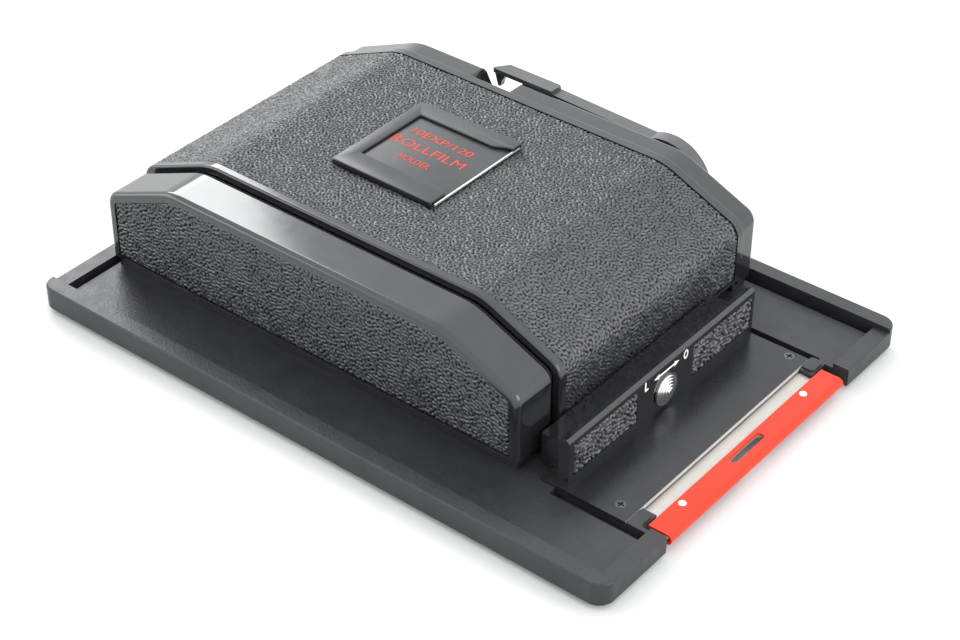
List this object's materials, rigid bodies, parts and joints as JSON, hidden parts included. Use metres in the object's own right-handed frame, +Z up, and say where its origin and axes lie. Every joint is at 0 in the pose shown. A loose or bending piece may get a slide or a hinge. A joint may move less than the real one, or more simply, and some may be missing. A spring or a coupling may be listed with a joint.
{
  "type": "roll film holder",
  "caption": "Roll-film holder back on a flat view-camera plate: hinged leather-covered cover, sliding latch, winding lever, spools and a pull-out dark slide.",
  "frame": {"origin": "under the plate's centre, on the plane of the ribs that the holder rests on", "axes": "+X along the plate towards the dark slide's handle, +Y across the plate towards the winding lever, +Z up from the camera side"},
  "size_m": [0.171, 0.12, 0.0373],
  "materials": {
    "plate_plastic": "fine stipple, matt black",
    "panel_metal": "matt black enamel",
    "screw_steel": "bright zinc",
    "felt": "black felt",
    "slide_steel": "bright spring steel",
    "handle_enamel": "gloss red enamel",
    "rivet_aluminium": "bright",
    "chamber_metal": "matt black anti-reflection paint",
    "roller_steel": "polished",
    "spool_plastic": "moulded black",
    "pressure_metal": "satin black",
    "spring_steel": "bright wire",
    "gloss_black": "high gloss",
    "leatherette": "pebble grain, satin",
    "hinge_steel": "black",
    "latch_chrome": "turned rings",
    "clip_enamel": "satin black",
    "card": "gloss black with red lettering",
    "gear_brass": "machined",
    "lever_enamel": "satin black",
    "dial_plastic": "printed white",
    "window_clear": "clear",
    "button_black": "gloss"
  },
  "bodies": {
    "holder": {"base_plate": "plate_plastic", "slide_cover_panel": "panel_metal", "panel_screws": "screw_steel", "base_screws": "screw_steel", "light_trap_felt": "felt", "film_chamber": "chamber_metal", "supply_idler": "roller_steel", "pressure_bridge": "chamber_metal", "pressure_springs": "spring_steel", "near_cheek": "gloss_black", "near_cheek_leather": "leatherette", "far_cheek": "gloss_black", "far_cheek_leather": "leatherette", "hinge_leaf_body": "hinge_steel", "hinge_pin": "roller_steel", "latch_housing": "gloss_black", "latch_leather_near": "leatherette", "latch_leather_far": "leatherette", "latch_pins": "screw_steel", "mechanism_plate": "chamber_metal", "lever_bushing": "gear_brass", "counter_window": "window_clear"},
    "dark_slide": {"dark_slide_sheet": "slide_steel", "dark_slide_handle": "handle_enamel", "handle_rivets": "rivet_aluminium"},
    "cover": {"cover_shell": "gloss_black", "cover_leather": "leatherette", "hinge_leaf_cover": "hinge_steel", "cover_catches": "hinge_steel", "memo_clip": "clip_enamel"},
    "memo_card": {"memo_card": "card"},
    "latch": {"latch_bar": "hinge_steel", "latch_button": "latch_chrome"},
    "supply_roller": {"supply_end_roller": "roller_steel"},
    "takeup_roller": {"takeup_end_roller": "roller_steel"},
    "supply_spool": {"supply_spool": "spool_plastic"},
    "takeup": {"takeup_spool": "spool_plastic", "takeup_shaft": "roller_steel", "takeup_gear": "gear_brass"},
    "supply_pin": {"supply_spool_pin": "roller_steel"},
    "takeup_pin": {"takeup_spool_pin": "roller_steel"},
    "pressure_plate": {"pressure_plate": "pressure_metal"},
    "winder": {"winding_lever": "lever_enamel", "lever_cap": "lever_enamel", "lever_screw": "screw_steel", "lever_shaft": "roller_steel", "lever_gear": "gear_brass"},
    "counter": {"counter_dial": "dial_plastic"},
    "release": {"release_button": "button_black"}
  },
  "joints": [
    {"name": "dark_slide_pull", "type": "slide", "parent": "holder", "child": "dark_slide", "axis": [1, 0, 0], "range_m": [0, 0.138]},
    {"name": "cover_open", "type": "hinge", "parent": "holder", "child": "cover", "pos_m": [-0.0806, 0, 0.0083], "axis": [0, -1, 0], "range_deg": [0, 95]},
    {"name": "memo_card_slide", "type": "slide", "parent": "cover", "child": "memo_card", "axis": [1, 0, 0], "range_m": [0, 0.032]},
    {"name": "latch_slide", "type": "slide", "parent": "holder", "child": "latch", "axis": [0, -1, 0], "range_m": [0, 0.003]},
    {"name": "supply_roller_spin", "type": "hinge", "parent": "holder", "child": "supply_roller", "pos_m": [-0.05255, 0, 0.00705], "axis": [0, 1, 0], "continuous": true},
    {"name": "takeup_roller_spin", "type": "hinge", "parent": "holder", "child": "takeup_roller", "pos_m": [0.01925, 0, 0.00705], "axis": [0, 1, 0], "continuous": true},
    {"name": "supply_spool_spin", "type": "hinge", "parent": "holder", "child": "supply_spool", "pos_m": [-0.0645, 0, 0.01725], "axis": [0, 1, 0], "continuous": true},
    {"name": "winding_lever_swing", "type": "hinge", "parent": "holder", "child": "winder", "pos_m": [0.0192, 0.057, 0.0225], "axis": [0, 1, 0], "range_deg": [0, 140]},
    {"name": "takeup_spool_wind", "type": "hinge", "parent": "holder", "child": "takeup", "pos_m": [0.0312, 0, 0.01725], "axis": [0, 1, 0], "range_deg": [-180, 0]},
    {"name": "counter_dial_turn", "type": "hinge", "parent": "holder", "child": "counter", "pos_m": [-0.05, 0.05, 0.0198], "axis": [0, 1, 0], "range_deg": [0, 32]},
    {"name": "supply_pin_pull", "type": "slide", "parent": "holder", "child": "supply_pin", "axis": [0, -1, 0], "range_m": [0, 0.002], "stiffness_N_per_m": 300},
    {"name": "takeup_pin_pull", "type": "slide", "parent": "holder", "child": "takeup_pin", "axis": [0, -1, 0], "range_m": [0, 0.002], "stiffness_N_per_m": 300},
    {"name": "pressure_plate_lift", "type": "slide", "parent": "holder", "child": "pressure_plate", "axis": [0, 0, 1], "range_m": [0, 0.0007], "stiffness_N_per_m": 600, "deforming": ["pressure_springs"]},
    {"name": "release_press", "type": "slide", "parent": "holder", "child": "release", "axis": [0, -1, 0], "range_m": [0, 0.0012], "stiffness_N_per_m": 300}
  ],
  "couplings": [
    {"joint": "takeup_spool_wind", "follows": "winding_lever_swing", "ratio": -1.25},
    {"joint": "counter_dial_turn", "follows": "winding_lever_swing", "ratio": 0.2143}
  ]
}
